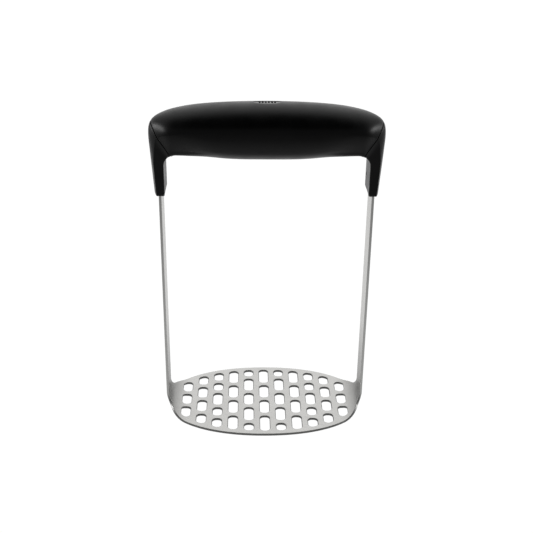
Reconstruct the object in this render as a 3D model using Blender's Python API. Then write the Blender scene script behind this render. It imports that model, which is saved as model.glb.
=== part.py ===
"""Hand masher: a broad soft grip on a rigid core, held up by a one-piece perforated steel frame.

Metres, +Z up, +X along the grip. The origin is the centre of the mashing plate's underside.
"""

import math

import bmesh
import bpy
from mathutils import Matrix, Vector

# Steel frame: one sheet blank with its two ends bent up
SHEET = 0.00125
PLATE_HALF_LENGTH = 0.0528
PLATE_HALF_DEPTH = 0.0323
PLATE_POWER = 2.14
STRAP_FACE_X = 0.0519
STRAP_WIDTH = 0.0145
BEND_RADIUS = 0.0098
ROOT_FILLET = 0.0075
TANG_TOP_Z = 0.1455
TANG_CORNER = 0.0012

# Steps along the blank's rim, its root fillet and each bend, and where the fillet's start is looked for
RIM_STEPS = 26
FILLET_STEPS = 6
BEND_STEPS = 10
FILLET_SEARCH = (math.radians(5), math.radians(60))

# Perforations: columns across the plate, each cut into slots by ribs
COLUMN_PITCH = 0.00836
SLOT_WIDTH = 0.0050
SLOT_CORNER = 0.0021
RIB = 0.0030
RIM = 0.0030
RIB_CENTRES = {
    0: (0.0, 0.0147),
    1: (0.00685, 0.0214),
    2: (0.0, 0.0146),
    3: (0.00690, 0.0170),
    4: (0.0, 0.0129),
    5: (0.00600,),
}

# Handle outline in the XZ plane
HANDLE_HALF_LENGTH = 0.0564
CROWN_Z = 0.1654
CROWN_RADIUS = 0.450
SHOULDER_Z = 0.1495
SHOULDER_POWER = 4.7
UNDERSIDE_Z = 0.1390
UNDERSIDE_RISE = 0.0032
UNDERSIDE_POWER = 1.9
LEG_BOTTOM_Z = 0.1216
LEG_INNER_X = 0.04895
LEG_FOOT_X = 0.0543
INNER_FILLET = 0.0055
FILLET_X = LEG_INNER_X - INNER_FILLET
FILLET_Z = UNDERSIDE_Z + UNDERSIDE_RISE - INNER_FILLET

# Handle depth, along Y. The plan is read this far from a section's inner to its outer point
LEG_HALF_DEPTH = 0.0082
FOOT_SWELL = 0.0026
GRIP_HALF_DEPTH = 0.0180
PLAN_POWER = 3.0
PLAN_READ = 0.6

# Shape of the handle's sections: crisp at a leg (softness 0), round at the grip's middle (softness 1)
LEG_FLAT = 0.72
GRIP_FLAT = 0.60
FLAT_TURN = math.radians(60)
LEG_CORNER = 0.0007
GRIP_CORNER = 0.0050
FOOT_TUCK = 0.0006
SOFTEN_FROM = math.radians(40)
SOFTEN_SPAN = math.radians(50)
CORNER_SOFTNESS = 0.4
ROUND_SOFTNESS = 0.5
SWELL_SOFTNESS = 0.62
OVAL_FROM = 0.25
OVAL_SPAN = 0.60
OVAL_POWER = 2.1
BEAM_SOFTEN = 1.5

# Counts of sections: leg, inner corner, half the beam; and of points along half a section
SECTIONS = (5, 7, 9)
BEAM_START = 9
SECTION_POINTS = (3, 3, 5, 7)

# Diagonal seam between the soft grip and each leg, in the XZ plane
SEAM_LOW = Vector((0.0460, 0.1429))
SEAM_HIGH = Vector((0.0546, 0.1561))

# Walls, gaps and fixings
GAP = 0.0003
SKIN = 0.0026
CORE_WALL = 0.0025
LID_HALF_LENGTH = 0.0400
LID_Z = 0.1530
CAVITY_HALF_LENGTH = 0.0365
PIN_RADIUS = 0.0006
PIN_GAP = 0.00015
PIN_LENGTH = 0.0034
PIN_SINK = 0.0004
PIN_Y = 0.0050
PIN_Z = 0.1290
PIN_SIDES = 24
PIN_SHARP_ANGLE = math.radians(40)

# Reach of cutters beyond the solids they cut
CUTTER_DEPTH = 0.03
CUTTER_TOP = 0.18
WEDGE_Z = (0.10, 0.20)
MOUTH = 0.002

# Halvings in a search, and the distance below which two points are one
BISECTIONS = 50
WELD = 1e-7


def clear_scene():
    for thing in list(bpy.data.objects):
        bpy.data.objects.remove(thing, do_unlink=True)


def new_collection(name):
    collection = bpy.data.collections.new(name)
    bpy.context.scene.collection.children.link(collection)
    return collection


def make_material(name, colour, roughness, metallic):
    material = bpy.data.materials.new(name)
    material.use_nodes = True
    shader = material.node_tree.nodes["Principled BSDF"]
    shader.inputs["Base Color"].default_value = (*colour, 1.0)
    shader.inputs["Roughness"].default_value = roughness
    shader.inputs["Metallic"].default_value = metallic
    material.diffuse_color = (*colour, 1.0)
    return material


def mesh_object(name, bm, collection):
    mesh = bpy.data.meshes.new(name)
    bm.to_mesh(mesh)
    bm.free()
    thing = bpy.data.objects.new(name, mesh)
    collection.objects.link(thing)
    return thing


def as_cutter(thing):
    thing.hide_render = True
    thing.display_type = "WIRE"
    return thing


def boolean(thing, other, operation):
    modifier = thing.modifiers.new(f"{operation.lower()} {other.name}", "BOOLEAN")
    modifier.operation = operation
    modifier.solver = "EXACT"
    modifier.object = other


def box(name, low, high, collection):
    bm = bmesh.new()
    bmesh.ops.create_cube(bm, size=1.0)
    low, high = Vector(low), Vector(high)
    bmesh.ops.scale(bm, vec=high - low, verts=bm.verts)
    bmesh.ops.translate(bm, vec=(low + high) / 2, verts=bm.verts)
    return mesh_object(name, bm, collection)


def smooth_step(value):
    value = min(max(value, 0.0), 1.0)
    return value * value * (3 - 2 * value)


# Steel frame


def rim_depth(x, inset=0.0):
    """Half the plate's depth at x, inside a rim of the given width."""
    ratio = abs(x) / (PLATE_HALF_LENGTH - inset)
    return (PLATE_HALF_DEPTH - inset) * (1 - ratio**PLATE_POWER) ** (1 / PLATE_POWER)


def rim_point(angle):
    x = PLATE_HALF_LENGTH * math.cos(angle) ** (2 / PLATE_POWER)
    y = PLATE_HALF_DEPTH * math.sin(angle) ** (2 / PLATE_POWER)
    return Vector((x, y))


def rim_normal(angle, step=1e-4):
    along = rim_point(angle - step) - rim_point(angle + step)
    return Vector((-along.y, along.x)).normalized()


def root_fillet():
    """Angle on the rim where the strap's root fillet starts, and the fillet's centre."""
    height = STRAP_WIDTH / 2 + ROOT_FILLET
    low, high = FILLET_SEARCH
    for _ in range(BISECTIONS):
        middle = (low + high) / 2
        centre = rim_point(middle) + rim_normal(middle) * ROOT_FILLET
        if centre.y > height:
            high = middle
        else:
            low = middle
    return middle, centre


def developed_length():
    """Length of the flat blank from the plate's centre to the top of a tang."""
    middle_x = STRAP_FACE_X - SHEET / 2
    rise = TANG_TOP_Z - BEND_RADIUS - SHEET / 2
    return middle_x - BEND_RADIUS + BEND_RADIUS * math.pi / 2 + rise


def quarter_outline():
    """Outline of the flat blank, from the middle of its back edge to the tang's end."""
    start, centre = root_fillet()
    points = []
    for i in range(RIM_STEPS + 1):
        points.append(rim_point(math.pi / 2 + (start - math.pi / 2) * i / RIM_STEPS))
    first = math.atan2(*reversed(rim_point(start) - centre)) % (2 * math.pi)
    last = 1.5 * math.pi
    for i in range(1, FILLET_STEPS + 1):
        angle = first + (last - first) * i / FILLET_STEPS
        points.append(centre + ROOT_FILLET * Vector((math.cos(angle), math.sin(angle))))
    end = developed_length() - TANG_CORNER
    edge = STRAP_WIDTH / 2 - TANG_CORNER
    for angle in (90, 60, 30, 0):
        turn = math.radians(angle)
        points.append(Vector((end + TANG_CORNER * math.cos(turn), edge + TANG_CORNER * math.sin(turn))))
    return points


def blank_outline():
    quarter = quarter_outline()
    right = quarter + [Vector((p.x, -p.y)) for p in reversed(quarter)]
    left = [Vector((-p.x, p.y)) for p in reversed(right[1:-1])]
    return right + left


def rounded_polygon(corners, radius, steps=3):
    """The corners, each replaced by an arc of the given radius."""
    points = []
    count = len(corners)
    for i, corner in enumerate(corners):
        before = (corners[i - 1] - corner).normalized()
        after = (corners[(i + 1) % count] - corner).normalized()
        half = before.angle(after) / 2
        centre = corner + (before + after).normalized() * radius / math.sin(half)
        start = corner + before * radius / math.tan(half) - centre
        end = corner + after * radius / math.tan(half) - centre
        turn = start.angle_signed(end)
        for k in range(steps + 1):
            points.append(centre + Matrix.Rotation(-turn * k / steps, 2) @ start)
    return points


def slot(x, low, high):
    """A slot of one column; without a high end it follows the rim."""
    left, right = x - SLOT_WIDTH / 2, x + SLOT_WIDTH / 2
    tops = [rim_depth(edge, RIM) if high is None else high for edge in (left, right)]
    corners = [
        Vector((left, low)),
        Vector((right, low)),
        Vector((right, tops[1])),
        Vector((left, tops[0])),
    ]
    return rounded_polygon(corners, SLOT_CORNER)


def slots():
    outlines = []
    last = max(RIB_CENTRES)
    for column in range(-last, last + 1):
        x = column * COLUMN_PITCH
        ribs = RIB_CENTRES[abs(column)]
        ends = [*(centre - RIB / 2 for centre in ribs[1:]), None]
        for centre, high in zip(ribs, ends):
            outline = slot(x, centre + RIB / 2, high)
            outlines += [outline, [Vector((p.x, -p.y)) for p in outline]]
        if ribs[0] > 0:
            outlines.append(slot(x, RIB / 2 - ribs[0], ribs[0] - RIB / 2))
    return outlines


def pin_holes():
    x = developed_length() - (TANG_TOP_Z - PIN_Z)
    radius = PIN_RADIUS + PIN_GAP
    outlines = []
    for side in (-1, 1):
        turns = [2 * math.pi * i / PIN_SIDES for i in range(PIN_SIDES)]
        outlines.append([Vector((side * x + radius * math.cos(t), PIN_Y + radius * math.sin(t))) for t in turns])
    return outlines


def flat_blank(collection):
    """The blank as a closed mesh, lying flat with its middle surface at z = 0."""
    curve = bpy.data.curves.new("blank", "CURVE")
    curve.dimensions = "2D"
    curve.fill_mode = "BOTH"
    curve.extrude = SHEET / 2
    for outline in [blank_outline(), *slots(), *pin_holes()]:
        spline = curve.splines.new("POLY")
        spline.points.add(len(outline) - 1)
        spline.use_cyclic_u = True
        for point, place in zip(spline.points, outline):
            point.co = (place.x, place.y, 0.0, 1.0)
    thing = bpy.data.objects.new("blank", curve)
    collection.objects.link(thing)
    evaluated = thing.evaluated_get(bpy.context.evaluated_depsgraph_get())
    mesh = bpy.data.meshes.new_from_object(evaluated)
    bpy.data.objects.remove(thing, do_unlink=True)
    bm = bmesh.new()
    bm.from_mesh(mesh)
    bpy.data.meshes.remove(mesh)
    bmesh.ops.remove_doubles(bm, verts=bm.verts, dist=WELD)
    return bm


def bent(place):
    """Where a point of the flat blank goes when both ends are bent up."""
    side = math.copysign(1.0, place.x)
    along = abs(place.x)
    bend_x = STRAP_FACE_X - SHEET / 2 - BEND_RADIUS
    base = SHEET / 2
    if along <= bend_x:
        return Vector((place.x, place.y, base + place.z))
    angle = min((along - bend_x) / BEND_RADIUS, math.pi / 2)
    rise = along - bend_x - BEND_RADIUS * angle
    radius = BEND_RADIUS - place.z
    x = bend_x + radius * math.sin(angle)
    z = base + BEND_RADIUS - radius * math.cos(angle) + rise
    return Vector((side * x, place.y, z))


def make_frame(collection, material):
    bm = flat_blank(collection)
    bend_x = STRAP_FACE_X - SHEET / 2 - BEND_RADIUS
    for side in (-1, 1):
        for i in range(BEND_STEPS + 1):
            x = side * (bend_x + BEND_RADIUS * math.pi / 2 * i / BEND_STEPS)
            everything = [*bm.verts, *bm.edges, *bm.faces]
            bmesh.ops.bisect_plane(bm, geom=everything, dist=WELD, plane_co=(x, 0, 0), plane_no=(1, 0, 0))
    for vert in bm.verts:
        vert.co = bent(vert.co)
    bmesh.ops.triangulate(bm, faces=bm.faces)
    bmesh.ops.recalc_face_normals(bm, faces=bm.faces)
    thing = mesh_object("masher_frame", bm, collection)
    thing.data.materials.append(material)
    return thing


# Handle form


def crown_z(x):
    return CROWN_Z - x * x / (2 * CROWN_RADIUS)


def top_z(x):
    ratio = min(abs(x) / HANDLE_HALF_LENGTH, 1.0)
    fall = (1 - ratio**SHOULDER_POWER) ** (1 / SHOULDER_POWER)
    return SHOULDER_Z + (crown_z(x) - SHOULDER_Z) * fall


def leg_outer_x(z):
    ratio = (z - LEG_BOTTOM_Z) / (SHOULDER_Z - LEG_BOTTOM_Z)
    return LEG_FOOT_X + (HANDLE_HALF_LENGTH - LEG_FOOT_X) * ratio


def underside_z(x):
    ratio = min(abs(x) / FILLET_X, 1.0)
    return UNDERSIDE_Z + UNDERSIDE_RISE * smooth_step(ratio**UNDERSIDE_POWER)


def inside_outline(x, z):
    return x < leg_outer_x(z) if z < SHOULDER_Z else z < top_z(x) and x < HANDLE_HALF_LENGTH


def fan_reach(angle):
    """Distance from the inner fillet's centre to the handle's outer outline."""
    low, high = INNER_FILLET, HANDLE_HALF_LENGTH
    for _ in range(BISECTIONS):
        middle = (low + high) / 2
        if inside_outline(FILLET_X + middle * math.cos(angle), FILLET_Z + middle * math.sin(angle)):
            low = middle
        else:
            high = middle
    return middle


def plan_half_depth(x):
    ratio = min(abs(x) / HANDLE_HALF_LENGTH, 1.0)
    return GRIP_HALF_DEPTH * (1 - ratio**PLAN_POWER) ** (1 / PLAN_POWER)


def station(inner, outer, softness, tuck=0.0):
    """One section: its inner and outer points in XZ, half its depth, how soft it is, its inset."""
    middle_x = inner.x + PLAN_READ * (outer.x - inner.x)
    share = smooth_step(softness / CORNER_SOFTNESS)
    depth = LEG_HALF_DEPTH + (plan_half_depth(middle_x) - LEG_HALF_DEPTH) * share
    return inner, outer, depth, softness, tuck


def half_stations():
    """Sections from the right leg's foot, round the inner corner, to the grip's middle."""
    leg_steps, fan_steps, beam_steps = SECTIONS
    stations = []
    foot = LEG_BOTTOM_Z
    for i in range(leg_steps):
        z = foot + (FILLET_Z - foot) * i / leg_steps + (FOOT_TUCK if i == 0 else 0.0)
        stations.append(station(Vector((LEG_INNER_X, z)), Vector((leg_outer_x(z), z)), 0.0))
    sole = station(Vector((LEG_INNER_X, foot)), Vector((leg_outer_x(foot), foot)), 0.0, FOOT_TUCK)
    stations.insert(0, sole)
    centre = Vector((FILLET_X, FILLET_Z))
    for i in range(fan_steps):
        angle = math.pi / 2 * i / fan_steps
        ray = Vector((math.cos(angle), math.sin(angle)))
        softness = CORNER_SOFTNESS * smooth_step((angle - SOFTEN_FROM) / SOFTEN_SPAN)
        stations.append(station(centre + ray * INNER_FILLET, centre + ray * fan_reach(angle), softness))
    for i in range(beam_steps + 1):
        x = FILLET_X * (1 - i / beam_steps)
        softness = CORNER_SOFTNESS + (1 - CORNER_SOFTNESS) * smooth_step(BEAM_SOFTEN * i / beam_steps)
        stations.append(station(Vector((x, underside_z(x))), Vector((x, top_z(x))), softness))
    return stations


def section_side(length, depth, flat, softness):
    """Half a section, from the bottom face round to the top: (height, y) pairs."""
    base_count, corner_count, side_count, crown_count = SECTION_POINTS
    corner = LEG_CORNER + (GRIP_CORNER - LEG_CORNER) * softness
    foot = LEG_HALF_DEPTH + FOOT_SWELL * smooth_step(softness / CORNER_SOFTNESS)
    square = [(0.0, (foot - corner) * i / base_count) for i in range(base_count)]
    for i in range(corner_count):
        turn = math.pi / 2 * i / corner_count
        square.append((corner * (1 - math.cos(turn)), foot - corner + corner * math.sin(turn)))
    for i in range(side_count):
        share = i / side_count
        swell = share + (math.sin(math.pi / 2 * share) - share) * smooth_step(softness / SWELL_SOFTNESS)
        square.append((corner + (flat - corner) * share, foot + (depth - foot) * swell))
    roundness = smooth_step((softness - OVAL_FROM) / OVAL_SPAN)
    points = []
    for i, (height, y) in enumerate(square):
        turn = math.pi / 2 * i / len(square)
        oval_height = flat * (1 - math.cos(turn) ** (2 / OVAL_POWER))
        oval_y = depth * math.sin(turn) ** (2 / OVAL_POWER)
        points.append((height + (oval_height - height) * roundness, y + (oval_y - y) * roundness))
    power = 2 - smooth_step(softness / ROUND_SOFTNESS)
    for i in range(crown_count):
        turn = math.pi / 2 * i / (crown_count - 1)
        points.append((flat + (length - flat) * math.sin(turn) ** power, depth * math.cos(turn)))
    return points


def ring(section, side, inset):
    """Points of one section, each side of the handle being a mirror image of the other."""
    inner, outer, depth, softness, tuck = section
    inset = inset + tuck
    length = (outer - inner).length
    lean = smooth_step(math.atan2(outer.y - inner.y, outer.x - inner.x) / FLAT_TURN)
    flat = length * (LEG_FLAT + (GRIP_FLAT - LEG_FLAT) * lean)
    half = section_side(length, depth, flat, softness)
    outline = half + [(height, -y) for height, y in reversed(half[1:-1])]
    along = (outer - inner).normalized()
    points = []
    for height, y in outline:
        height = length / 2 + (height - length / 2) * (length - 2 * inset) / length
        place = inner + along * height
        points.append(Vector((side * place.x, y * (depth - inset) / depth, place.y)))
    return points


def cap(bm, loop):
    """Close a ring with a fan of triangles round its middle."""
    middle = bm.verts.new(sum((vert.co for vert in loop), Vector()) / len(loop))
    for i, vert in enumerate(loop):
        bm.faces.new((loop[i - 1], vert, middle))


def loft(name, rings, collection):
    bm = bmesh.new()
    loops = [[bm.verts.new(place) for place in points] for points in rings]
    count = len(loops[0])
    for one, two in zip(loops, loops[1:]):
        for i in range(count):
            k = (i + 1) % count
            bm.faces.new((one[i], one[k], two[k], two[i]))
    cap(bm, loops[0])
    cap(bm, loops[-1])
    bmesh.ops.triangulate(bm, faces=bm.faces)
    bmesh.ops.recalc_face_normals(bm, faces=bm.faces)
    return mesh_object(name, bm, collection)


def handle_form(name, collection, half, inset=0.0):
    """One solid through the given sections of one half and their mirror images."""
    rings = [ring(section, 1, inset) for section in half]
    rings += [ring(section, -1, inset) for section in reversed(half[:-1])]
    return loft(name, rings, collection)


def seam_wedge(name, offset, collection):
    """Everything between the two seam planes, each moved outwards by the offset."""
    along = (SEAM_HIGH - SEAM_LOW).normalized()
    outward = Vector((along.y, -along.x)) * offset
    bm = bmesh.new()
    bmesh.ops.create_cube(bm, size=1.0)
    for vert in bm.verts:
        z = WEDGE_Z[1] if vert.co.z > 0 else WEDGE_Z[0]
        x = SEAM_LOW.x + outward.x + along.x * (z - SEAM_LOW.y - outward.y) / along.y
        vert.co = Vector((math.copysign(x, vert.co.x), math.copysign(CUTTER_DEPTH, vert.co.y), z))
    return as_cutter(mesh_object(name, bm, collection))


def cylinder_x(name, radius, low_x, high_x, collection):
    """A round bar along X at the pins' height."""
    bpy.ops.mesh.primitive_cylinder_add(
        vertices=PIN_SIDES,
        radius=radius,
        depth=abs(high_x - low_x),
        location=((low_x + high_x) / 2, PIN_Y, PIN_Z),
        rotation=(0, math.pi / 2, 0),
    )
    thing = bpy.context.object
    thing.name = name
    for owner in list(thing.users_collection):
        owner.objects.unlink(thing)
    collection.objects.link(thing)
    thing.data.shade_smooth()
    thing.data.set_sharp_from_angle(angle=PIN_SHARP_ANGLE)
    return thing


def lid_box(name, margin, collection):
    """The space over the core's split level, grown by the margin."""
    reach = LID_HALF_LENGTH + margin
    low, high = (-reach, -CUTTER_DEPTH, LID_Z - margin), (reach, CUTTER_DEPTH, CUTTER_TOP)
    return as_cutter(box(name, low, high, collection))


def make_grip(parts, cutters, material):
    grip = handle_form("soft_grip", parts, half_stations())
    boolean(grip, seam_wedge("grip_zone", -GAP / 2, cutters), "INTERSECT")
    hollow = as_cutter(handle_form("grip_hollow", cutters, half_stations()[BEAM_START:], SKIN))
    boolean(grip, hollow, "DIFFERENCE")
    grip.data.materials.append(material)
    return grip


def make_core(parts, cutters, material, cavity):
    core = handle_form("handle_core", parts, half_stations())
    boolean(core, seam_wedge("leg_zone", GAP / 2, cutters), "DIFFERENCE")
    beam = as_cutter(handle_form("core_beam", cutters, half_stations()[BEAM_START:], SKIN + GAP))
    boolean(core, beam, "UNION")
    boolean(core, cavity, "DIFFERENCE")
    lid_room = lid_box("lid_room", GAP / 2, cutters)
    boolean(core, lid_room, "DIFFERENCE")
    half_width = STRAP_WIDTH / 2 + GAP
    inner, outer = STRAP_FACE_X - SHEET - GAP, STRAP_FACE_X + GAP
    top = TANG_TOP_Z + GAP
    for side in (-1, 1):
        low_x, high_x = sorted((side * inner, side * outer))
        low, high = (low_x, -half_width, LEG_BOTTOM_Z - MOUTH), (high_x, half_width, top)
        boolean(core, as_cutter(box(f"tang_slot_{side}", low, high, cutters)), "DIFFERENCE")
        mouth = side * (LEG_INNER_X - MOUTH)
        end = side * (LEG_INNER_X + PIN_SINK + PIN_LENGTH + PIN_GAP)
        hole = cylinder_x(f"pin_hole_{side}", PIN_RADIUS + PIN_GAP, mouth, end, cutters)
        boolean(core, as_cutter(hole), "DIFFERENCE")
    core.data.materials.append(material)
    return core


def make_lid(parts, cutters, material, cavity):
    lid = handle_form("core_lid", parts, half_stations()[BEAM_START:], SKIN + GAP)
    boolean(lid, lid_box("lid_zone", -GAP / 2, cutters), "INTERSECT")
    boolean(lid, cavity, "DIFFERENCE")
    lid.data.materials.append(material)
    return lid


def make_cavity(cutters):
    """The hollow inside the closed core."""
    half = [section for section in half_stations() if section[0].x <= CAVITY_HALF_LENGTH]
    return as_cutter(handle_form("core_cavity", cutters, half, SKIN + GAP + CORE_WALL))


def make_pins(parts, material):
    for name, side in (("left_tang_pin", -1), ("right_tang_pin", 1)):
        near = side * (LEG_INNER_X + PIN_SINK)
        pin = cylinder_x(name, PIN_RADIUS, near, near + side * PIN_LENGTH, parts)
        pin.data.materials.append(material)


def main():
    clear_scene()
    parts = new_collection("hand_masher")
    cutters = new_collection("cutters")
    steel = make_material("satin_steel", (0.60, 0.59, 0.57), 0.28, 1.0)
    pin_steel = make_material("pin_steel", (0.45, 0.45, 0.45), 0.35, 1.0)
    core_plastic = make_material("leg_plastic", (0.012, 0.012, 0.013), 0.38, 0.0)
    lid_plastic = make_material("lid_plastic", (0.03, 0.03, 0.032), 0.50, 0.0)
    soft_skin = make_material("soft_skin", (0.010, 0.010, 0.011), 0.48, 0.0)
    cavity = make_cavity(cutters)
    make_frame(parts, steel)
    make_core(parts, cutters, core_plastic, cavity)
    make_lid(parts, cutters, lid_plastic, cavity)
    make_grip(parts, cutters, soft_skin)
    make_pins(parts, pin_steel)


main()
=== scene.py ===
"""Looks of the hand masher: its steel frame, its hard legs and its soft grip.

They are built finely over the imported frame. Metres, +Z up, +X along the grip.
"""

import math

import bmesh
import bpy
import numpy as np
from mathutils import Matrix, Vector
from mathutils.geometry import tessellate_polygon


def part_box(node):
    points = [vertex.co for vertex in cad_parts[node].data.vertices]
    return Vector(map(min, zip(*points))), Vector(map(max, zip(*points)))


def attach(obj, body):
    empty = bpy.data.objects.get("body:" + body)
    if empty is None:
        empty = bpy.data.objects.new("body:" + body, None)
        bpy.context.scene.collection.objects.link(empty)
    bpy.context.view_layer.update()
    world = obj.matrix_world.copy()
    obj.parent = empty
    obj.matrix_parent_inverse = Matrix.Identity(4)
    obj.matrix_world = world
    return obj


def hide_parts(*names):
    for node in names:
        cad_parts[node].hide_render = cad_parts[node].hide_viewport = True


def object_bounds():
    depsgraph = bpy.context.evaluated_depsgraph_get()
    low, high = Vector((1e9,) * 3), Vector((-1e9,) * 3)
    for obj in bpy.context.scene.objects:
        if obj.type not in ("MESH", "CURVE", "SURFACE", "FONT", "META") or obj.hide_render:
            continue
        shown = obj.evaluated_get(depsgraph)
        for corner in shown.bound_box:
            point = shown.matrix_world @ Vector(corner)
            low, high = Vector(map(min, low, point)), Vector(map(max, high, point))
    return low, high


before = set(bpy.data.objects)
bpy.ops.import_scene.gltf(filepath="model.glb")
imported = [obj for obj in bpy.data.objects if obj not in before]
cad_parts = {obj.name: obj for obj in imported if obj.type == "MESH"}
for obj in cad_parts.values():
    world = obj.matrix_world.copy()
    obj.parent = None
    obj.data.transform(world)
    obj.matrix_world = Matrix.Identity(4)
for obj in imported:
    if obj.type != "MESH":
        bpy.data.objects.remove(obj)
CAD_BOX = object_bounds()
CENTRE = (CAD_BOX[0] + CAD_BOX[1]) / 2

STEEL_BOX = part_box("masher_frame")
CORE_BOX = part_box("handle_core")
GRIP_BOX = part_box("soft_grip")
PIN_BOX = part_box("right_tang_pin")

# Steel frame: one sheet blank with its two ends bent up
SHEET = 0.00125
PLATE_HALF_LENGTH = 0.0528
PLATE_HALF_DEPTH = STEEL_BOX[1].y
PLATE_POWER = 2.14
STRAP_FACE_X = STEEL_BOX[1].x
STRAP_WIDTH = 0.0145
BEND_RADIUS = 0.0098
ROOT_FILLET = 0.0075
TANG_TOP_Z = STEEL_BOX[1].z
TANG_CORNER = 0.0012
BEND_START_X = STRAP_FACE_X - SHEET / 2 - BEND_RADIUS
EDGE_ROUND = 0.00016
HOLE_ROUND = 0.00030

# Fineness of the steel's curves, and limits of the searches and joins. The face weight makes
# shading normals follow the large flat faces
RIM_STEPS = 70
FILLET_STEPS = 14
TANG_CORNER_STEPS = 6
SLOT_CORNER_STEPS = 8
BEND_STEPS = 28
EDGE_STEPS = 3
FILLET_SEARCH = (math.radians(5), math.radians(60))
BISECTIONS = 50
MITRE_LIMIT = 0.5
WELD = 1e-8
FACE_WEIGHT = 80

# Perforations: columns across the plate, each cut into slots by ribs
COLUMN_PITCH = 0.00836
SLOT_WIDTH = 0.0050
SLOT_CORNER = 0.0021
RIB = 0.0030
RIM = 0.0030
RIB_CENTRES = {
    0: (0.0, 0.0147),
    1: (0.00685, 0.0214),
    2: (0.0, 0.0146),
    3: (0.00690, 0.0170),
    4: (0.0, 0.0129),
    5: (0.00600,),
}

# Handle outline in the XZ plane
HALF_LENGTH = CORE_BOX[1].x
CROWN_Z = GRIP_BOX[1].z
CROWN_RADIUS = 0.450
SHOULDER_Z = 0.1495
SHOULDER_POWER = 4.7
UNDERSIDE_Z = GRIP_BOX[0].z
UNDERSIDE_RISE = 0.0032
UNDERSIDE_POWER = 1.9
LEG_BOTTOM_Z = CORE_BOX[0].z
LEG_INNER_X = 0.04895
LEG_FOOT_X = 0.0543
INNER_FILLET = 0.0055
FILLET_X = LEG_INNER_X - INNER_FILLET
FILLET_Z = UNDERSIDE_Z + UNDERSIDE_RISE - INNER_FILLET

# Handle depth and section shape: crisp at a leg (softness 0), round at the middle (softness 1).
# The plan's depth is read part of the way from the inner outline to the outer one
LEG_HALF_DEPTH = 0.0082
FOOT_SWELL = 0.0026
GRIP_HALF_DEPTH = GRIP_BOX[1].y
PLAN_POWER = 3.0
PLAN_READ = 0.6
LEG_FLAT = 0.72
GRIP_FLAT = 0.60
FLAT_TURN = math.radians(60)
LEG_CORNER = 0.0007
GRIP_CORNER = 0.0050
SOFTEN_FROM = math.radians(40)
SOFTEN_SPAN = math.radians(50)
CORNER_SOFTNESS = 0.4
ROUND_SOFTNESS = 0.5
SWELL_SOFTNESS = 0.62
OVAL_FROM = 0.25
OVAL_SPAN = 0.60
OVAL_POWER = 2.1
BEAM_SOFTEN = 1.5
CREASE_ROUND = 0.00035
FOOT_ROUND = 0.0009

# Seam between grip and legs
SEAM_LOW = Vector((0.0460, 0.0, 0.1429))
SEAM_HIGH = Vector((0.0546, 0.0, 0.1561))
SEAM_GAP = 0.0003
SEAM_LIP = 0.00022
SEAM_DEPTH = 0.0016

# Rows of the handle's form: leg, inner corner, beam up to the badge, badge
LEG_ROWS = 30
CORNER_ROWS = 60
BEAM_ROWS = 46
BADGE_ROWS = 32
BADGE_ZONE = 0.0082
SMOOTHING = 14
LEG_ROW_PITCH = (FILLET_Z - LEG_BOTTOM_Z) / LEG_ROWS

# Rows of the built pieces: rounded foot, rest of a leg, the skin's corner, rounded lip of a seam
FOOT_STEPS = 5
LEG_STEPS = 60
SKIN_CORNER_STEPS = 22
LIP_STEPS = 4

# Points of half a section: base, corner, side, crease, crown, and of a line before it is spaced out.
# The oval shares say how far round the oval the base and the corner end
BASE_POINTS = 5
CORNER_POINTS = 7
SIDE_POINTS = 20
CREASE_POINTS = 6
CROWN_POINTS = 66
DENSE = 160
OVAL_SHARES = (3 / 11, 6 / 11)

# Oval badge recess on the crown. It is looked for only above a share of the grip's height
BADGE_HALF_LENGTH = 0.0069
BADGE_HALF_WIDTH = 0.0042
BADGE_Y = 0.0032
BADGE_DEPTH = 0.00035
BADGE_WALL = 0.0004
BADGE_ABOVE = 0.7
BADGE_MARKS = 6
MARK_PITCH = 0.00145
MARK_SIZE = (0.00050, 0.0015, 0.00030)
MARK_SEGMENTS = (20, 12)

# Gaps round the tangs and pins, and how far their cutters reach past the legs
SLOT_GAP = 0.0003
PIN_GAP = 0.00015
CUTTER_REACH = 0.002
PIN_HOLE_SIDES = 32

# Angles past which an edge is shaded sharp
GRIP_SHARP = math.radians(50)
LEG_SHARP = math.radians(40)
MARK_SHARP = math.radians(60)
MIRRORED = np.array((-1.0, 1.0, 1.0))

# Zones of the steel's colour, by distance along the flat blank from its middle: where the cut edges turn
# from the rim's painted shade to the straps' colour, and where painted shade darkens the bends and then
# clears up the straps. The bends' painted shade is given as the share of its colour that the steel keeps
# there
STRAP_ZONE = (0.046, 0.056)
BEND_PAINTED_SHADE_ZONE = (0.0395, 0.0520)
BEND_PAINTED_SHADE_FADE = (0.0580, 0.1050)
BEND_PAINTED_SHADE = 0.48

# Grain of the surfaces in waves per metre, height of their relief, and what stain and wear change
BRUSHED_GRAIN = (160.0, 9000.0, 1.0)
STAIN_GRAIN = (60.0, 90.0, 1.0)
TORN_GRAIN = (2500.0, 2500.0, 1.0)
PIN_GRAIN = 3000.0
WEAR_GRAIN = 140.0
METAL_RELIEF = 0.00002
PLASTIC_RELIEF = 0.00003
STAIN_SHADES = (0.96, 1.03)
WEAR_GLOSS = 0.04
WEAR_LIFT = 1.5
WEAR_DUST = 0.0003

# The part of a noise's range that it fills, and the numbers of a colour mix's sockets
NOISE_RANGE = (0.3, 0.7)
MIX_LOW, MIX_HIGH, MIX_RESULT = 6, 7, 2

# Stage: brightness of the floor and the walls, and where each changes. The ceiling's edge is a
# weighted sum of a direction's z, y and distance aside
FLOOR_DROP = 0.0002
FLOOR_HALF_SIZE = 6.0
WHITE_FLOOR = 1.03
PALE_FLOOR = 0.45
FLOOR_FRONT = (-0.30, -0.12)
FLOOR_SIDE = (0.18, 0.36)
SIDE_SPREAD = 0.257
FAR_FLOOR = (1.6, 4.5)
FRONT_GLOW = 0.40
BACK_GLOW = 1.4
WALL_TURN = (-0.3, 0.8)
CEILING_UP = 0.97
CEILING_BACK = -0.15
CEILING_ASIDE = 0.08
CEILING_EDGE = (0.70, 0.86)
DARK_ZONE = 0.035

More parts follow.
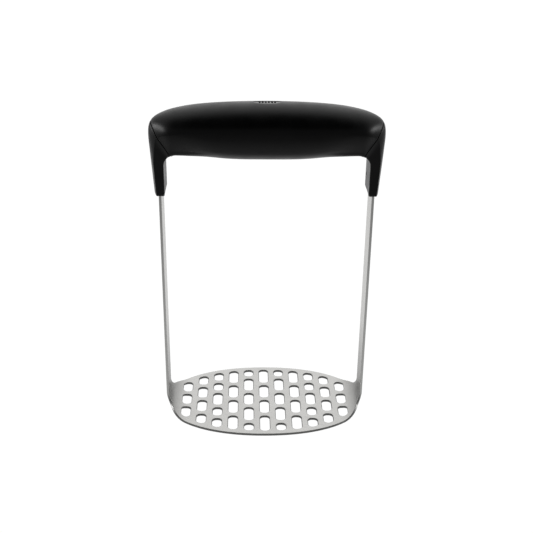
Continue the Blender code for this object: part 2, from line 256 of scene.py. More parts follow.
# Softboxes, placed from the middle of the CAD's box: name, side and watts
SOFTBOXES = (("left_softbox", -1, 5.0), ("right_softbox", 1, 3.0))
SOFTBOX_PLACE = (1.0, 0.20, 0.29)
SOFTBOX_SIZE = 0.24

# Camera, placed from the same middle. It turns by yaw, pitch below level and roll
CAMERA_PLACE = Vector((-0.0105, -0.42805, 0.20215))
CAMERA_TURNS = (-0.0255, 0.4448, 0.0119)
CAMERA_LENS = 63.25
CAMERA_SENSOR = 36.0
CAMERA_NEAR = 0.01


def smooth_step(value):
    value = np.clip(value, 0.0, 1.0)
    return value * value * (3 - 2 * value)


def mix(low, high, share):
    return low + (high - low) * share


def add_object(name, data):
    thing = bpy.data.objects.new(name, data)
    bpy.context.scene.collection.objects.link(thing)
    return thing


def finished_piece(thing, material, slot, *nodes):
    """Gives a piece its material, hangs it on the root body and hides the CAD nodes that it stands for.
    The slot is not used.
    """
    thing.data.materials.append(material)
    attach(thing, "root")
    if nodes:
        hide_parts(*nodes)


# Steel frame


def rim_depth(x, inset=0.0):
    """Half the plate's depth at x, inside a rim of the given width."""
    ratio = abs(x) / (PLATE_HALF_LENGTH - inset)
    return (PLATE_HALF_DEPTH - inset) * (1 - ratio**PLATE_POWER) ** (1 / PLATE_POWER)


def rim_point(angle):
    x = PLATE_HALF_LENGTH * math.cos(angle) ** (2 / PLATE_POWER)
    y = PLATE_HALF_DEPTH * math.sin(angle) ** (2 / PLATE_POWER)
    return Vector((x, y))


def rim_normal(angle, step=1e-4):
    along = rim_point(angle - step) - rim_point(angle + step)
    return Vector((-along.y, along.x)).normalized()


def root_fillet():
    """Angle on the rim where the strap's root fillet starts, and the fillet's centre."""
    height = STRAP_WIDTH / 2 + ROOT_FILLET
    low, high = FILLET_SEARCH
    for _ in range(BISECTIONS):
        middle = (low + high) / 2
        centre = rim_point(middle) + rim_normal(middle) * ROOT_FILLET
        if centre.y > height:
            high = middle
        else:
            low = middle
    return middle, centre


def developed_length():
    """Length of the flat blank from the plate's centre to the top of a tang."""
    rise = TANG_TOP_Z - BEND_RADIUS - SHEET / 2
    return BEND_START_X + BEND_RADIUS * math.pi / 2 + rise


def quarter_outline():
    """Outline of the flat blank, from the middle of its back edge to the tang's end."""
    start, centre = root_fillet()
    points = []
    for i in range(RIM_STEPS + 1):
        points.append(rim_point(math.pi / 2 + (start - math.pi / 2) * i / RIM_STEPS))
    first = math.atan2(*reversed(rim_point(start) - centre)) % (2 * math.pi)
    last = 1.5 * math.pi
    for i in range(1, FILLET_STEPS + 1):
        angle = first + (last - first) * i / FILLET_STEPS
        points.append(centre + ROOT_FILLET * Vector((math.cos(angle), math.sin(angle))))
    end = developed_length() - TANG_CORNER
    edge = STRAP_WIDTH / 2 - TANG_CORNER
    for i in range(TANG_CORNER_STEPS + 1):
        turn = math.pi / 2 * (1 - i / TANG_CORNER_STEPS)
        points.append(Vector((end, edge)) + TANG_CORNER * Vector((math.cos(turn), math.sin(turn))))
    return points


def blank_outline():
    quarter = quarter_outline()
    right = quarter + [Vector((p.x, -p.y)) for p in reversed(quarter)]
    left = [Vector((-p.x, p.y)) for p in reversed(right[1:-1])]
    return right + left


def rounded_polygon(corners, radius, steps):
    """The corners, each replaced by an arc of the given radius."""
    points = []
    count = len(corners)
    for i, corner in enumerate(corners):
        before = (corners[i - 1] - corner).normalized()
        after = (corners[(i + 1) % count] - corner).normalized()
        half = before.angle(after) / 2
        centre = corner + (before + after).normalized() * radius / math.sin(half)
        start = corner + before * radius / math.tan(half) - centre
        end = corner + after * radius / math.tan(half) - centre
        turn = start.angle_signed(end)
        for k in range(steps + 1):
            points.append(centre + Matrix.Rotation(-turn * k / steps, 2) @ start)
    return points


def slot_outline(x, low, high):
    """A slot of one column; without a high end it follows the rim."""
    left, right = x - SLOT_WIDTH / 2, x + SLOT_WIDTH / 2
    tops = [rim_depth(edge, RIM) if high is None else high for edge in (left, right)]
    corners = [(left, low), (right, low), (right, tops[1]), (left, tops[0])]
    return rounded_polygon([Vector(corner) for corner in corners], SLOT_CORNER, SLOT_CORNER_STEPS)


def slot_outlines():
    outlines = []
    last = max(RIB_CENTRES)
    for column in range(-last, last + 1):
        x = column * COLUMN_PITCH
        ribs = RIB_CENTRES[abs(column)]
        ends = [*(centre - RIB / 2 for centre in ribs[1:]), None]
        for centre, high in zip(ribs, ends):
            outline = slot_outline(x, centre + RIB / 2, high)
            outlines += [outline, [Vector((p.x, -p.y)) for p in outline]]
        if ribs[0] > 0:
            outlines.append(slot_outline(x, RIB / 2 - ribs[0], ribs[0] - RIB / 2))
    return outlines


def signed_area(points):
    return sum(a.cross(b) for a, b in zip(points, points[1:] + points[:1])) / 2


def edge_profile(radius):
    """(inset, height) pairs down the sheet's rounded edge, from top face to bottom face."""
    half = SHEET / 2
    turns = [math.pi / 2 * i / EDGE_STEPS for i in range(EDGE_STEPS + 1)]
    top = [(radius * (1 - math.sin(t)), half - radius * (1 - math.cos(t))) for t in turns]
    return top + [(inset, -height) for inset, height in reversed(top)]


def into_metal(points, hole):
    """Mitred unit directions from each point of an outline into the metal."""
    if (signed_area(points) > 0) == hole:
        points = points[::-1]
    count = len(points)
    directions = []
    for i in range(count):
        before = (points[i] - points[i - 1]).normalized()
        after = (points[(i + 1) % count] - points[i]).normalized()
        along = (before + after).normalized()
        directions.append(Vector((-along.y, along.x)) / max(along.dot(before), MITRE_LIMIT))
    return points, directions


def flat_blank():
    """The perforated blank lying flat, with rounded edges, its middle surface at z = 0.

    The faces of its cut edges take the second material.
    """
    bm = bmesh.new()
    top_loops, bottom_loops = [], []
    outlines = [(blank_outline(), False)] + [(outline, True) for outline in slot_outlines()]
    for outline, hole in outlines:
        points, directions = into_metal(outline, hole)
        layers = []
        for inset, height in edge_profile(HOLE_ROUND if hole else EDGE_ROUND):
            places = [p + d * inset for p, d in zip(points, directions)]
            layers.append([bm.verts.new((p.x, p.y, height)) for p in places])
        count = len(points)
        for upper, lower in zip(layers, layers[1:]):
            for i in range(count):
                k = (i + 1) % count
                bm.faces.new((upper[i], lower[i], lower[k], upper[k])).material_index = 1
        top_loops.append(layers[0])
        bottom_loops.append(layers[-1])
    for loops, flip in ((top_loops, False), (bottom_loops, True)):
        verts = [vert for loop in loops for vert in loop]
        for triangle in tessellate_polygon([[vert.co for vert in loop] for loop in loops]):
            corners = [verts[i] for i in triangle]
            bm.faces.new(corners[::-1] if flip else corners)
    bmesh.ops.recalc_face_normals(bm, faces=bm.faces)
    return bm


def bent(place):
    """Where a point of the flat blank goes when both ends are bent up."""
    side = math.copysign(1.0, place.x)
    base = SHEET / 2
    beyond = abs(place.x) - BEND_START_X
    if beyond <= 0:
        return Vector((place.x, place.y, base + place.z))
    angle = min(beyond / BEND_RADIUS, math.pi / 2)
    rise = beyond - BEND_RADIUS * angle
    radius = BEND_RADIUS - place.z
    x = BEND_START_X + radius * math.sin(angle)
    z = base + BEND_RADIUS - radius * math.cos(angle) + rise
    return Vector((side * x, place.y, z))


def split_at(bm, x):
    """Cuts every face that crosses the plane at x."""
    everything = [*bm.verts, *bm.edges, *bm.faces]
    bmesh.ops.bisect_plane(bm, geom=everything, dist=WELD, plane_co=(x, 0, 0), plane_no=(1, 0, 0))


def build_steel():
    """The bent frame. Its UV map keeps each point's place on the flat blank, for the grain."""
    bm = flat_blank()
    for side in (-1, 1):
        for i in range(BEND_STEPS + 1):
            split_at(bm, side * (BEND_START_X + BEND_RADIUS * math.pi / 2 * i / BEND_STEPS))
    grain = bm.loops.layers.uv.new("grain")
    for face in bm.faces:
        face.smooth = True
        for loop in face.loops:
            loop[grain].uv = (loop.vert.co.x, loop.vert.co.y)
    for vert in bm.verts:
        vert.co = bent(vert.co)
    mesh = bpy.data.meshes.new("steel_frame")
    bm.to_mesh(mesh)
    bm.free()
    thing = add_object("steel_frame", mesh)
    thing.modifiers.new("even shading", "WEIGHTED_NORMAL").weight = FACE_WEIGHT
    return thing


# Handle form


def top_z(x):
    ratio = min(abs(x) / HALF_LENGTH, 1.0)
    crown = CROWN_Z - x * x / (2 * CROWN_RADIUS)
    fall = (1 - ratio**SHOULDER_POWER) ** (1 / SHOULDER_POWER)
    return SHOULDER_Z + (crown - SHOULDER_Z) * fall


def leg_outer_x(z):
    ratio = (z - LEG_BOTTOM_Z) / (SHOULDER_Z - LEG_BOTTOM_Z)
    return LEG_FOOT_X + (HALF_LENGTH - LEG_FOOT_X) * ratio


def underside_z(x):
    ratio = min(abs(x) / FILLET_X, 1.0)
    return UNDERSIDE_Z + UNDERSIDE_RISE * smooth_step(ratio**UNDERSIDE_POWER)


def inside_outline(x, z):
    return x < leg_outer_x(z) if z < SHOULDER_Z else z < top_z(x) and x < HALF_LENGTH


def fan_reach(angle):
    """Distance from the inner fillet's centre to the handle's outer outline."""
    cosine, sine = math.cos(angle), math.sin(angle)
    low, high = INNER_FILLET, HALF_LENGTH
    for _ in range(BISECTIONS):
        middle = (low + high) / 2
        if inside_outline(FILLET_X + middle * cosine, FILLET_Z + middle * sine):
            low = middle
        else:
            high = middle
    return middle


def plan_half_depth(x):
    ratio = min(abs(x) / HALF_LENGTH, 1.0)
    return GRIP_HALF_DEPTH * (1 - ratio**PLAN_POWER) ** (1 / PLAN_POWER)


def half_rows():
    """Sections from the right foot to the middle: inner x, z, outer x, z, depth and softness."""
    rows = []

    def add(inner_x, inner_z, outer_x, outer_z, softness):
        share = smooth_step(softness / CORNER_SOFTNESS)
        plan_x = mix(inner_x, outer_x, PLAN_READ)
        depth = mix(LEG_HALF_DEPTH, plan_half_depth(plan_x), share)
        rows.append((inner_x, inner_z, outer_x, outer_z, depth, softness))

    for i in range(LEG_ROWS):
        z = mix(LEG_BOTTOM_Z, FILLET_Z, i / LEG_ROWS)
        add(LEG_INNER_X, z, leg_outer_x(z), z, 0.0)
    centre = np.array((FILLET_X, FILLET_Z))
    for i in range(CORNER_ROWS):
        angle = math.pi / 2 * i / CORNER_ROWS
        ray = np.array((math.cos(angle), math.sin(angle)))
        softness = CORNER_SOFTNESS * smooth_step((angle - SOFTEN_FROM) / SOFTEN_SPAN)
        add(*(centre + ray * INNER_FILLET), *(centre + ray * fan_reach(angle)), softness)
    beam = [mix(FILLET_X, BADGE_ZONE, i / BEAM_ROWS) for i in range(BEAM_ROWS)]
    beam += [BADGE_ZONE * (1 - i / BADGE_ROWS) for i in range(BADGE_ROWS + 1)]
    for x in beam:
        softness = mix(CORNER_SOFTNESS, 1.0, smooth_step(BEAM_SOFTEN * (1 - x / FILLET_X)))
        add(x, underside_z(x), x, top_z(x), softness)
    rows = np.array(rows)
    for _ in range(SMOOTHING):
        rows[1:-1] = rows[1:-1] / 2 + (rows[:-2] + rows[2:]) / 4
    return rows


def spaced_out(line, count, skip_start=0.0, skip_end=0.0):
    """Evenly spaced points along a polyline, less a length at its start and its end."""
    steps = np.linalg.norm(np.diff(line, axis=0), axis=1)
    reach = np.concatenate(([0.0], np.cumsum(steps)))
    distances = np.linspace(skip_start, reach[-1] - skip_end, count)
    return np.stack([np.interp(distances, reach, line[:, i]) for i in range(2)], axis=1)


def rounded(points, share, depth, flat, softness):
    """Blends the lower half of a section towards a quarter oval as it softens."""
    turn = math.pi / 2 * share
    power = 2 / OVAL_POWER
    height = flat * (1 - np.maximum(np.cos(turn), 0.0) ** power)
    oval = np.stack([height, depth * np.sin(turn) ** power], axis=1)
    return mix(points, oval, smooth_step((softness - OVAL_FROM) / OVAL_SPAN))


def section_side(length, depth, flat, softness):
    """Half a section, from the middle of its base to the middle of its crown: (height, y) pairs."""
    corner = mix(LEG_CORNER, GRIP_CORNER, softness)
    foot = LEG_HALF_DEPTH + FOOT_SWELL * smooth_step(softness / CORNER_SOFTNESS)
    first, second = OVAL_SHARES
    ramp = np.arange(BASE_POINTS) / BASE_POINTS
    base = np.stack([np.zeros(BASE_POINTS), (foot - corner) * ramp], axis=1)
    base = rounded(base, first * ramp, depth, flat, softness)
    ramp = np.arange(CORNER_POINTS) / CORNER_POINTS
    turn = math.pi / 2 * ramp
    bend = np.stack([corner * (1 - np.cos(turn)), foot - corner + corner * np.sin(turn)], axis=1)
    bend = rounded(bend, mix(first, second, ramp), depth, flat, softness)
    share = np.linspace(0, 1, DENSE)
    swell = mix(share, np.sin(math.pi / 2 * share), smooth_step(softness / SWELL_SOFTNESS))
    side = np.stack([mix(corner, flat, share), mix(foot, depth, swell)], axis=1)
    side = rounded(side, mix(second, 1.0, share), depth, flat, softness)
    power = 2 - smooth_step(softness / ROUND_SOFTNESS)
    turn = math.pi / 2 * share
    crown = np.stack([flat + (length - flat) * np.sin(turn) ** power, depth * np.cos(turn)], axis=1)
    side_points = spaced_out(side, SIDE_POINTS, skip_end=CREASE_ROUND)
    crown_points = spaced_out(crown, CROWN_POINTS, skip_start=CREASE_ROUND)
    t = np.linspace(0, 1, CREASE_POINTS + 2)[1:-1, None]
    start, apex, end = side_points[-1], side[-1], crown_points[0]
    crease = start * (1 - t) ** 2 + apex * 2 * t * (1 - t) + end * t**2
    return np.concatenate([base, bend, side_points, crease, crown_points])


def full_ring(row):
    """All points of one section, in space."""
    inner, outer = np.array(row[:2]), np.array(row[2:4])
    depth, softness = row[4], row[5]
    across = outer - inner
    length = np.linalg.norm(across)
    lean = smooth_step(math.atan2(across[1], across[0]) / FLAT_TURN)
    half = section_side(length, depth, length * mix(LEG_FLAT, GRIP_FLAT, lean), softness)
    heights = np.concatenate([half[:, 0], half[-2:0:-1, 0]])
    y = np.concatenate([half[:, 1], -half[-2:0:-1, 1]])
    places = inner + across / length * heights[:, None]
    return np.stack([places[:, 0], y, places[:, 1]], axis=1)


def surface_grid():
    return np.array([full_ring(row) for row in half_rows()])


def at_rows(grid, rows):
    """Points of the grid at fractional rows, one row for each column."""
    low = np.clip(np.floor(rows).astype(int), 0, len(grid) - 2)
    share = (rows - low)[:, None]
    columns = np.arange(grid.shape[1])
    return grid[low, columns] * (1 - share) + grid[low + 1, columns] * share


def seam_distance(grid):
    """How far each point lies from the right seam plane, positive on the leg's side."""
    along = (SEAM_HIGH - SEAM_LOW).normalized()
    outward = np.array((along.z, 0.0, -along.x))
    return (grid - np.array(SEAM_LOW)) @ outward


def crossing_rows(distance, value):
    """The fractional row at which each column reaches a distance from the seam plane."""
    rows = np.arange(LEG_ROWS, LEG_ROWS + CORNER_ROWS + 1)
    columns = -distance[rows].T
    return np.array([np.interp(-value, column, rows) for column in columns])


def inset_ring(ring, amount):
    inward = ring.mean(axis=0) - ring
    return ring + inward / np.linalg.norm(inward, axis=1)[:, None] * amount


def seam_lip(grid, distance, side):
    """Rings over a rounded lip into the seam; the side is 1 for the leg and -1 for the grip."""
    rings = []
    for i in range(LIP_STEPS + 1):
        turn = math.pi / 2 * i / LIP_STEPS
        value = side * (SEAM_GAP / 2 + SEAM_LIP * (1 - math.sin(turn)))
        ring = at_rows(grid, crossing_rows(distance, value))
        rings.append(inset_ring(ring, SEAM_LIP * (1 - math.cos(turn))))
    rings.append(inset_ring(rings[-1], SEAM_DEPTH))
    return rings


def skin_rings(bm, rings):
    """Joins rings of points with quads and closes both ends."""
    loops = [[bm.verts.new(tuple(place)) for place in ring] for ring in rings]
    count = len(loops[0])
    for one, two in zip(loops, loops[1:]):
        for i in range(count):
            k = (i + 1) % count
            bm.faces.new((one[i], one[k], two[k], two[i]))
    for loop in (loops[0], loops[-1]):
        middle = bm.verts.new(sum((vert.co for vert in loop), Vector()) / count)
        for i, vert in enumerate(loop):
            bm.faces.new((loop[i - 1], vert, middle))


def smooth_mesh(name, bm, sharp_angle):
    """Turns a bmesh into a smooth-shaded mesh that keeps its sharp edges."""
    bmesh.ops.recalc_face_normals(bm, faces=bm.faces)
    mesh = bpy.data.meshes.new(name)
    bm.to_mesh(mesh)
    bm.free()
    mesh.shade_smooth()
    mesh.set_sharp_from_angle(angle=sharp_angle)
    return mesh


def badge_share(places):
    """How far each place is into the badge's oval: 0 at its rim, 1 past the foot of its wall."""
    x = places[:, 0] / BADGE_HALF_LENGTH
    y = (places[:, 1] - BADGE_Y) / BADGE_HALF_WIDTH
    inside = (1 - np.sqrt(x**2 + y**2)) * BADGE_HALF_WIDTH / BADGE_WALL
    on_crown = places[:, 2] > mix(UNDERSIDE_Z, CROWN_Z, BADGE_ABOVE)
    return np.where(on_crown, smooth_step(inside), 0.0)


def sunk(ring):
    """Presses the badge recess into a ring's crown."""
    ring = ring.copy()
    ring[:, 2] -= badge_share(ring) * BADGE_DEPTH
    return ring


def build_grip(grid, distance):
    """The soft skin. Faces more than half-way down the badge's wall take the second material."""
    start = LEG_ROWS + CORNER_ROWS
    seam = crossing_rows(distance, -(SEAM_GAP / 2 + SEAM_LIP))
    rings = seam_lip(grid, distance, -1)[::-1]
    for i in range(1, SKIN_CORNER_STEPS):
        rings.append(at_rows(grid, mix(seam, start, i / SKIN_CORNER_STEPS)))
    rings += list(grid[start:])
    rings += [ring * MIRRORED for ring in reversed(rings[:-1])]
    bm = bmesh.new()
    skin_rings(bm, [sunk(ring) for ring in rings])
    for face in bm.faces:
        middle = np.array([face.calc_center_median()])
        if badge_share(middle)[0] > 0.5:
            face.material_index = 1
    return add_object("grip_skin", smooth_mesh("grip_skin", bm, GRIP_SHARP))


def foot_rings(grid):
    """Rings over the rounded edge of the leg's foot, from its sole up to its side."""
    rings = []
    for i in range(FOOT_STEPS + 1):
        turn = math.pi / 2 * (1 - i / FOOT_STEPS)
        row = FOOT_ROUND * (1 - math.sin(turn)) / LEG_ROW_PITCH
        ring = at_rows(grid, np.full(grid.shape[1], row))
        rings.append(inset_ring(ring, FOOT_ROUND * (1 - math.cos(turn))))
    return rings


def cutter_box(bm, low, high):
    made = bmesh.ops.create_cube(bm, size=1.0)["verts"]
    low, high = Vector(low), Vector(high)
    bmesh.ops.scale(bm, vec=high - low, verts=made)
    bmesh.ops.translate(bm, vec=(low + high) / 2, verts=made)


def leg_cutter():
    """The tang slots and the pin holes of both legs, as one cutter."""
    bm = bmesh.new()
    pin_low, pin_high = PIN_BOX
    pin_y, pin_z = (pin_low.y + pin_high.y) / 2, (pin_low.z + pin_high.z) / 2
    radius = (pin_high.z - pin_low.z) / 2 + PIN_GAP
    half = STRAP_WIDTH / 2 + SLOT_GAP
    tang_inner_x = STRAP_FACE_X - SHEET
    for side in (-1, 1):
        near, far = sorted((side * (tang_inner_x - SLOT_GAP), side * (STRAP_FACE_X + SLOT_GAP)))
        low, high = (near, -half, LEG_BOTTOM_Z - CUTTER_REACH), (far, half, TANG_TOP_Z + SLOT_GAP)
        cutter_box(bm, low, high)
        start, end = LEG_INNER_X - CUTTER_REACH, tang_inner_x - SLOT_GAP / 2
        centre = Matrix.Translation((side * (start + end) / 2, pin_y, pin_z))
        bmesh.ops.create_cone(
            bm,
            cap_ends=True,
            segments=PIN_HOLE_SIDES,
            radius1=radius,
            radius2=radius,
            depth=end - start,
            matrix=centre @ Matrix.Rotation(math.pi / 2, 4, "Y"),
        )
    mesh = bpy.data.meshes.new("leg_cutter")
    bm.to_mesh(mesh)
    bm.free()
    return add_object("leg_cutter", mesh)


def build_legs(grid, distance):
    """Both hard legs, with their tang slots and pin holes cut."""
    foot_top = FOOT_ROUND / LEG_ROW_PITCH
    seam = crossing_rows(distance, SEAM_GAP / 2 + SEAM_LIP)
    rings = foot_rings(grid)
    rings += [at_rows(grid, mix(foot_top, seam, i / LEG_STEPS)) for i in range(1, LEG_STEPS)]
    rings += seam_lip(grid, distance, 1)
    bm = bmesh.new()
    skin_rings(bm, rings)
    skin_rings(bm, [ring * MIRRORED for ring in rings])
    legs = add_object("core_legs", smooth_mesh("core_legs", bm, LEG_SHARP))
    cutter = leg_cutter()
    modifier = legs.modifiers.new("slots and pin holes", "BOOLEAN")
    modifier.operation = "DIFFERENCE"
    modifier.solver = "EXACT"
    modifier.use_self = True
    modifier.object = cutter
    cut_legs = legs.evaluated_get(bpy.context.evaluated_depsgraph_get())
    mesh = bpy.data.meshes.new_from_object(cut_legs)
    legs.modifiers.clear()
    legs.data = mesh
    mesh.shade_smooth()
    mesh.set_sharp_from_angle(angle=LEG_SHARP)
    bpy.data.objects.remove(cutter, do_unlink=True)
    return legs


def crown_drop(y):
    """How far the crown has fallen at a depth y, at the grip's middle."""
    height = (CROWN_Z - UNDERSIDE_Z) * (1 - GRIP_FLAT)
    return height * (1 - math.sqrt(1 - (y / GRIP_HALF_DEPTH) ** 2))


def build_marks():
    """A row of small plain bumps in the badge recess."""
    bm = bmesh.new()
    around, down = MARK_SEGMENTS
    for i in range(BADGE_MARKS):
        x = (i - (BADGE_MARKS - 1) / 2) * MARK_PITCH
        recess_z = top_z(x) - BADGE_DEPTH - crown_drop(BADGE_Y)
        place = Matrix.Translation((x, BADGE_Y, recess_z)) @ Matrix.Diagonal((*MARK_SIZE, 1.0))
        bmesh.ops.create_uvsphere(bm, u_segments=around, v_segments=down, radius=1.0, matrix=place)
    return add_object("badge_marks", smooth_mesh("badge_marks", bm, MARK_SHARP))


# Materials


class Wiring:
    """A small helper for building a node tree."""

    def __init__(self, tree):
        self.tree = tree

    def add(self, kind, inputs=None, **settings):
        node = self.tree.nodes.new(kind)
        for key, value in settings.items():
            setattr(node, key, value)
        for key, value in (inputs or {}).items():
            if isinstance(value, bpy.types.NodeSocket):
                self.tree.links.new(value, node.inputs[key])
            else:
                node.inputs[key].default_value = value
        return node

    def axes(self, vector):
        return self.add("ShaderNodeSeparateXYZ", {"Vector": vector}).outputs

    def coordinates(self, name):
        return self.add("ShaderNodeTexCoord").outputs[name]

    def math(self, operation, *values):
        inputs = dict(enumerate(values))
        return self.add("ShaderNodeMath", inputs, operation=operation).outputs["Value"]

    def ramp(self, value, span, low, high):
        """A smooth change from low to high as the value crosses the span."""
        inputs = {"Value": value, "From Min": span[0], "From Max": span[1], "To Min": low, "To Max": high}
        return self.add("ShaderNodeMapRange", inputs, interpolation_type="SMOOTHSTEP").outputs["Result"]


class Surface(Wiring):
    """One material, with its Principled shader."""

    def __init__(self, name, colour, roughness, metallic=0.0, specular=0.5):
        self.material = bpy.data.materials.new(name)
        self.material.use_nodes = True
        super().__init__(self.material.node_tree)
        self.shader = self.tree.nodes["Principled BSDF"]
        self.shader.inputs["Base Color"].default_value = (*colour, 1.0)
        self.shader.inputs["Roughness"].default_value = roughness
        self.shader.inputs["Metallic"].default_value = metallic
        self.shader.inputs["Specular IOR Level"].default_value = specular
        self.material.diffuse_color = (*colour, 1.0)

    def place(self, grain):
        """The object's own coordinates, in waves of an even grain."""
        inputs = {"Vector": self.coordinates("Object"), "Scale": (grain, grain, grain)}
        return self.add("ShaderNodeMapping", inputs).outputs["Vector"]

    def blank_place(self, grain=(1.0, 1.0, 1.0)):
        """The place on the flat blank, in waves of the grain."""
        source = self.add("ShaderNodeUVMap", uv_map="grain").outputs["UV"]
        return self.add("ShaderNodeMapping", {"Vector": source, "Scale": grain}).outputs["Vector"]

    def reach_along(self):
        """How far along the flat blank a point lies from its middle."""
        return self.math("ABSOLUTE", self.axes(self.blank_place())["X"])

    def noise(self, vector, detail):
        inputs = {"Vector": vector, "Scale": 1.0, "Detail": detail}
        return self.add("ShaderNodeTexNoise", inputs).outputs["Fac"]

    def spread(self, value, low=0.0, high=1.0):
        """Maps the range that a noise fills to low..high."""
        start, end = NOISE_RANGE
        inputs = {"Value": value, "From Min": start, "From Max": end, "To Min": low, "To Max": high}
        return self.add("ShaderNodeMapRange", inputs).outputs["Result"]

    def blend(self, share, low, high):
        inputs = {"Factor": share, MIX_LOW: (*low, 1.0), MIX_HIGH: (*high, 1.0)}
        return self.add("ShaderNodeMix", inputs, data_type="RGBA").outputs[MIX_RESULT]

    def bump(self, height, strength, distance):
        inputs = {"Height": height, "Strength": strength, "Distance": distance}
        return self.add("ShaderNodeBump", inputs).outputs["Normal"]

    def drive(self, name, socket):
        self.tree.links.new(socket, self.shader.inputs[name])


def steel_material(name, colour, smooth, rough):
    """Brushed sheet, its grain running along the blank, with painted shade darkening its colour in the
    bends.
    """
    surface = Surface(name, colour, rough, metallic=1.0)
    brushed = surface.noise(surface.blank_place(BRUSHED_GRAIN), 4.0)
    stained = surface.noise(surface.blank_place(STAIN_GRAIN), 3.0)
    dark, light = [tuple(c * shade for c in colour) for shade in STAIN_SHADES]
    clean = surface.blend(surface.spread(stained), dark, light)
    # Painted shade: the colour darkens into the bends and clears again up the straps.
    reach = surface.reach_along()
    painted_bend_shade = surface.ramp(reach, BEND_PAINTED_SHADE_ZONE, 1.0, BEND_PAINTED_SHADE)
    painted_shade_fade = surface.ramp(reach, BEND_PAINTED_SHADE_FADE, 0.0, 1.0 - BEND_PAINTED_SHADE)
    shade = surface.math("ADD", painted_bend_shade, painted_shade_fade)
    shaded = surface.add("ShaderNodeVectorMath", {0: clean, "Scale": shade}, operation="SCALE")
    surface.drive("Base Color", shaded.outputs["Vector"])
    surface.drive("Roughness", surface.spread(brushed, smooth, rough))
    surface.drive("Normal", surface.bump(brushed, 0.10, METAL_RELIEF))
    return surface.material


def edge_material(name, shaded_rim_colour, strap_colour):
    """Cut metal, darker round the plate and its slots than along the straps: that dark is painted shade
    for the shadow under the plate.
    """
    surface = Surface(name, strap_colour, 0.42, metallic=1.0)
    torn = surface.noise(surface.blank_place(TORN_GRAIN), 4.0)
    # Painted shade: the dark rim colour on the plate's edge and slot walls gives way to the strap colour
    # along the straps.
    share = surface.ramp(surface.reach_along(), STRAP_ZONE, 0.0, 1.0)
    surface.drive("Base Color", surface.blend(share, shaded_rim_colour, strap_colour))
    surface.drive("Roughness", surface.spread(torn, 0.34, 0.50))
    surface.drive("Normal", surface.bump(torn, 0.20, METAL_RELIEF))
    return surface.material


def plain_metal(name, colour):
    surface = Surface(name, colour, 0.35, metallic=1.0)
    fine = surface.noise(surface.place(PIN_GRAIN), 3.0)
    surface.drive("Roughness", surface.spread(fine, 0.28, 0.42))
    surface.drive("Normal", surface.bump(fine, 0.15, METAL_RELIEF))
    return surface.material


def moulded_material(name, colour, roughness, specular, grain, strength):
    """Black moulded surface: a fine grain in its relief and slight wear in its gloss."""
    surface = Surface(name, colour, roughness, specular=specular)
    fine = surface.noise(surface.place(grain), 2.0)
    worn = surface.noise(surface.place(WEAR_GRAIN), 3.0)
    dusty = tuple(c * WEAR_LIFT + WEAR_DUST for c in colour)
    surface.drive("Base Color", surface.blend(surface.spread(worn), colour, dusty))
    surface.drive("Roughness", surface.spread(worn, roughness - WEAR_GLOSS, roughness + WEAR_GLOSS))
    surface.drive("Normal", surface.bump(fine, strength, PLASTIC_RELIEF))
    return surface.material


# Stage


def glow_floor_material():
    """White under and behind the object, running into the walls' brightness far out."""
    material = bpy.data.materials.new("floor_white")
    material.use_nodes = True
    glow = Wiring(material.node_tree)
    glow.tree.nodes.clear()
    x, y, _ = glow.axes(glow.coordinates("Object"))
    outward = glow.math("MULTIPLY_ADD", y, -SIDE_SPREAD, glow.math("ABSOLUTE", x))
    front = glow.ramp(y, FLOOR_FRONT, PALE_FLOOR, WHITE_FLOOR)
    side = glow.ramp(outward, FLOOR_SIDE, WHITE_FLOOR, PALE_FLOOR)
    near = glow.math("MINIMUM", front, side)
    reach = glow.math("SQRT", glow.math("MULTIPLY_ADD", x, x, glow.math("MULTIPLY", y, y)))
    wall = glow.ramp(glow.math("DIVIDE", y, reach), WALL_TURN, FRONT_GLOW, BACK_GLOW)
    far_share = glow.ramp(reach, FAR_FLOOR, 0.0, 1.0)
    strength = glow.math("MULTIPLY_ADD", far_share, glow.math("SUBTRACT", wall, near), near)
    emission = glow.add("ShaderNodeEmission", {"Strength": strength}).outputs["Emission"]
    glow.add("ShaderNodeOutputMaterial", {"Surface": emission})
    return material


def build_floor():
    bm = bmesh.new()
    bmesh.ops.create_grid(bm, x_segments=1, y_segments=1, size=FLOOR_HALF_SIZE)
    mesh = bpy.data.meshes.new("floor")
    bm.to_mesh(mesh)
    bm.free()
    mesh.materials.append(glow_floor_material())
    floor = add_object("floor", mesh)
    floor.location.z = CAD_BOX[0].z - FLOOR_DROP


def build_world():
    """A pale room, brighter behind the object, with a dark ceiling over it."""
    world = bpy.data.worlds.new("studio")
    bpy.context.scene.world = world
    world.use_nodes = True
    glow = Wiring(world.node_tree)
    x, y, z = glow.axes(glow.coordinates("Generated"))
    wall = glow.ramp(y, WALL_TURN, FRONT_GLOW, BACK_GLOW)
    height = glow.math("MULTIPLY_ADD", z, CEILING_UP, glow.math("MULTIPLY", y, CEILING_BACK))
    height = glow.math("MULTIPLY_ADD", glow.math("ABSOLUTE", x), CEILING_ASIDE, height)
    open_share = glow.ramp(height, CEILING_EDGE, 1.0, DARK_ZONE)
    background = glow.tree.nodes["Background"]
    background.inputs["Color"].default_value = (1.0, 1.0, 1.0, 1.0)
    glow.tree.links.new(glow.math("MULTIPLY", wall, open_share), background.inputs["Strength"])


def build_softboxes():
    reach, back, up = SOFTBOX_PLACE
    for name, side, watts in SOFTBOXES:
        light = bpy.data.lights.new(name, "AREA")
        light.shape = "SQUARE"
        light.size = SOFTBOX_SIZE
        light.energy = watts
        outward = Vector((side * reach, back, up))
        softbox = add_object(name, light)
        softbox.location = CENTRE + outward
        softbox.rotation_euler = (-outward).to_track_quat("-Z", "Y").to_euler()


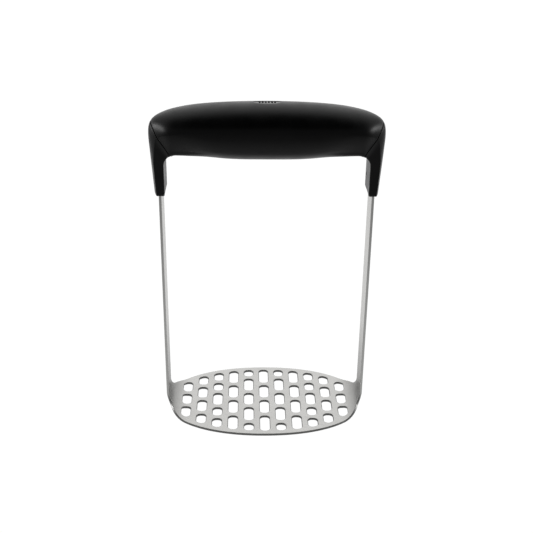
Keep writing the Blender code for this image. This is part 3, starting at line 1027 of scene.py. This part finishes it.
def build_camera():
    data = bpy.data.cameras.new("camera")
    data.sensor_width = CAMERA_SENSOR
    data.lens = CAMERA_LENS
    data.clip_start = CAMERA_NEAR
    camera = add_object("camera", data)
    yaw, pitch, roll = CAMERA_TURNS
    heading = Matrix.Rotation(yaw, 4, "Z") @ Matrix.Rotation(math.pi / 2 - pitch, 4, "X")
    place = Matrix.Translation(CENTRE + CAMERA_PLACE)
    camera.matrix_world = place @ heading @ Matrix.Rotation(roll, 4, "Z")
    bpy.context.scene.camera = camera


# Assembly


def build_frame():
    steel = steel_material("satin_steel", (0.467, 0.464, 0.452), smooth=0.33, rough=0.43)
    # The cut edges' rim colour is painted shade, darker than the metal itself.
    cut_edge = edge_material("cut_edge", shaded_rim_colour=(0.10, 0.10, 0.098), strap_colour=(0.32, 0.32, 0.313))
    steel_frame = build_steel()
    finished_piece(steel_frame, steel, "steel", "masher_frame")
    steel_frame.data.materials.append(cut_edge)


def build_handle():
    leg_plastic = moulded_material(
        "leg_plastic", (0.0025, 0.0025, 0.0027), roughness=0.36, specular=0.12, grain=5200.0, strength=0.10
    )
    soft_skin = moulded_material(
        "soft_skin", (0.0014, 0.0014, 0.0015), roughness=0.36, specular=0.09, grain=3600.0, strength=0.22
    )
    badge_gloss = moulded_material(
        "badge_gloss", (0.008, 0.008, 0.009), roughness=0.30, specular=0.20, grain=3600.0, strength=0.05
    )
    badge_ink = moulded_material(
        "badge_ink", (0.002, 0.002, 0.002), roughness=0.8, specular=0.05, grain=3600.0, strength=0.05
    )
    grid = surface_grid()
    distance = seam_distance(grid)
    grip = build_grip(grid, distance)
    finished_piece(grip, soft_skin, "soft_skin", "soft_grip")
    grip.data.materials.append(badge_gloss)
    finished_piece(build_legs(grid, distance), leg_plastic, "leg_plastic", "handle_core")
    finished_piece(build_marks(), badge_ink, "soft_skin")


def dress_hidden_pieces():
    """Materials for the CAD pieces that are kept as they are."""
    lid_plastic = moulded_material(
        "lid_plastic", (0.02, 0.02, 0.021), roughness=0.5, specular=0.4, grain=4200.0, strength=0.1
    )
    # The pins' steel is painted dark: painted shade for pins seen down in their holes.
    pin_steel = plain_metal("pin_steel", (0.08, 0.08, 0.08))
    looks = {"core_lid": lid_plastic, "left_tang_pin": pin_steel, "right_tang_pin": pin_steel}
    for name, material in looks.items():
        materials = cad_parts[name].data.materials
        materials.clear()
        materials.append(material)


def main():
    build_frame()
    build_handle()
    dress_hidden_pieces()
    build_floor()
    build_world()
    build_softboxes()
    build_camera()
    bpy.context.scene.view_settings.view_transform = "Standard"


main()
